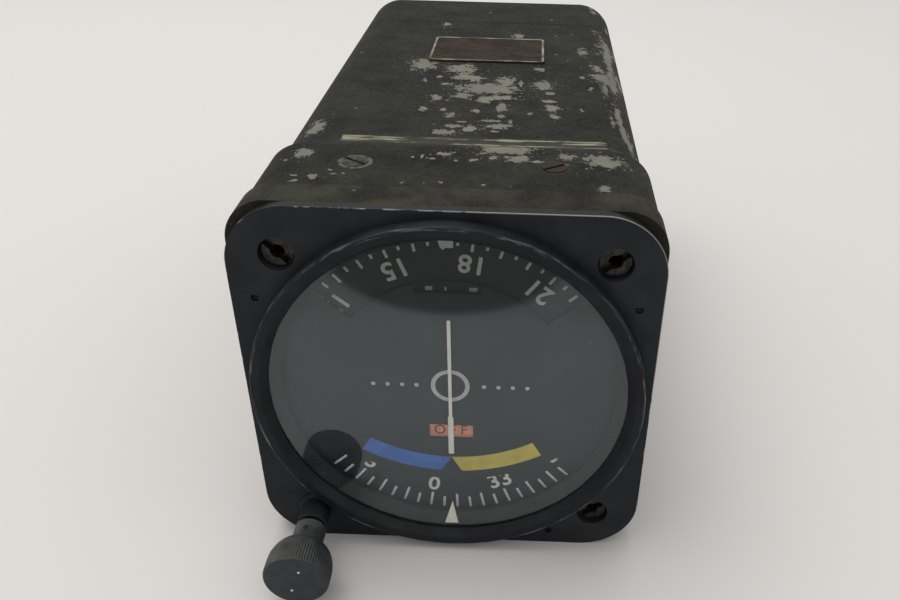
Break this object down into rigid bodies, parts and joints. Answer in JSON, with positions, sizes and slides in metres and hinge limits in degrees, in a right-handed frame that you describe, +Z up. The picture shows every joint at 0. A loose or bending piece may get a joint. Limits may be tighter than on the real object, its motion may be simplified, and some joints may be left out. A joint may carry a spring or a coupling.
{
  "type": "course deviation indicator",
  "caption": "Square panel instrument with a round glazed dial, turning course card, swinging needle, OFF flag, corner knob and a long rounded case with a rear connector.",
  "frame": {"origin": "dial axis at the face plate's front face", "axes": "+X right and +Z up as the face is seen; +Y from the face towards the rear connector"},
  "size_m": [0.0826, 0.1997, 0.0826],
  "materials": {
    "black_enamel": "semi-gloss black enamel over aluminium, worn at its edges",
    "black_plastic": "moulded black plastic, finely ridged",
    "cover_glass": "clear glass under a thin film of dust",
    "cream_paint": "aged cream lacquer",
    "white_paint": "matt white lacquer",
    "olive_enamel": "dark olive enamel, chipped to bare metal",
    "dial_black": "matt dial black with printed white marks",
    "salmon_paint": "faded salmon lacquer",
    "worn_steel": "plated steel with dull wear",
    "bare_steel": "turned bright steel",
    "gear_brass": "cut brass",
    "bare_aluminium": "plain machined aluminium",
    "coil_winding": "enamelled copper winding on a bobbin",
    "connector_metal": "dull plated aluminium",
    "connector_insulator": "moulded black insulator",
    "contact_gold": "gilt contact metal",
    "data_plate_brass": "browned etched brass, left bare"
  },
  "bodies": {
    "root": {"face_plate": "black_enamel", "face_screws": "worn_steel", "bezel_ring": "black_enamel", "cover_glass": "cover_glass", "index_ring": "black_enamel", "course_pointer": "cream_paint", "reciprocal_mark": "white_paint", "front_casting": "olive_enamel", "mounting_inserts": "worn_steel", "case_cover": "olive_enamel", "cover_screws": "worn_steel", "data_plate": "data_plate_brass", "rear_cap": "olive_enamel", "cap_screws": "worn_steel", "connector_shell": "connector_metal", "connector_insert": "connector_insulator", "connector_contacts": "contact_gold", "connector_screws": "worn_steel", "dial_mask": "dial_black", "mask_posts": "bare_aluminium", "front_plate": "bare_aluminium", "front_plate_screws": "worn_steel", "card_bearing_ring": "gear_brass", "card_retaining_ring": "gear_brass", "frame_posts": "bare_aluminium", "rear_plate": "bare_aluminium", "rear_posts": "bare_aluminium", "knob_bushing": "black_enamel", "bushing_nut": "bare_steel", "idler_stud": "bare_steel", "resolver_standoffs": "bare_aluminium", "resolver_plate": "bare_aluminium", "resolver_body": "bare_aluminium", "resolver_cleats": "bare_steel", "needle_cup": "bare_steel", "needle_coil": "coil_winding", "needle_hairspring": "gear_brass", "off_cup": "bare_steel", "off_coil": "coil_winding", "tofrom_cup": "bare_steel", "tofrom_coil": "coil_winding"},
    "knob": {"course_knob": "black_plastic", "knob_set_screws": "worn_steel", "knob_shaft": "bare_steel", "knob_pinion": "gear_brass", "shaft_clip": "bare_steel", "rear_pinion": "gear_brass"},
    "card": {"course_card": "dial_black", "card_gear": "gear_brass"},
    "idler": {"idler_gear": "gear_brass"},
    "resolver_rotor": {"resolver_shaft": "bare_steel", "resolver_gear": "gear_brass"},
    "needle": {"needle_rotor": "bare_steel", "deviation_needle": "white_paint"},
    "off_indicator": {"off_rotor": "bare_steel", "off_flag": "salmon_paint"},
    "tofrom_indicator": {"tofrom_rotor": "bare_steel", "tofrom_flag": "white_paint"}
  },
  "joints": [
    {"name": "card_turn", "type": "hinge", "parent": "root", "child": "card", "pos_m": [0, 0, 0], "axis": [0, 1, 0], "continuous": true},
    {"name": "knob_turn", "type": "hinge", "parent": "root", "child": "knob", "pos_m": [-0.0302, 0, -0.0326], "axis": [0, 1, 0], "continuous": true},
    {"name": "idler_turn", "type": "hinge", "parent": "root", "child": "idler", "pos_m": [-0.02229, 0, -0.02406], "axis": [0, 1, 0], "continuous": true},
    {"name": "resolver_turn", "type": "hinge", "parent": "root", "child": "resolver_rotor", "pos_m": [0, 0, 0], "axis": [0, 1, 0], "continuous": true},
    {"name": "needle_swing", "type": "hinge", "parent": "root", "child": "needle", "pos_m": [0, 0, 0.015], "axis": [0, 1, 0], "range_deg": [-30, 30], "stiffness_Nm_per_rad": 0.00002},
    {"name": "off_flag_swing", "type": "hinge", "parent": "root", "child": "off_indicator", "pos_m": [0.0155, 0, -0.0123], "axis": [0, 1, 0], "range_deg": [0, 32], "stiffness_Nm_per_rad": 0.00003, "springref_deg": -17.19},
    {"name": "tofrom_swing", "type": "hinge", "parent": "root", "child": "tofrom_indicator", "pos_m": [0, 0, -0.002], "axis": [0, 1, 0], "range_deg": [-12, 12], "stiffness_Nm_per_rad": 0.00006}
  ],
  "couplings": [
    {"joint": "knob_turn", "follows": "card_turn", "ratio": -6},
    {"joint": "idler_turn", "follows": "card_turn", "ratio": 3.4286},
    {"joint": "resolver_turn", "follows": "card_turn", "ratio": -1}
  ]
}
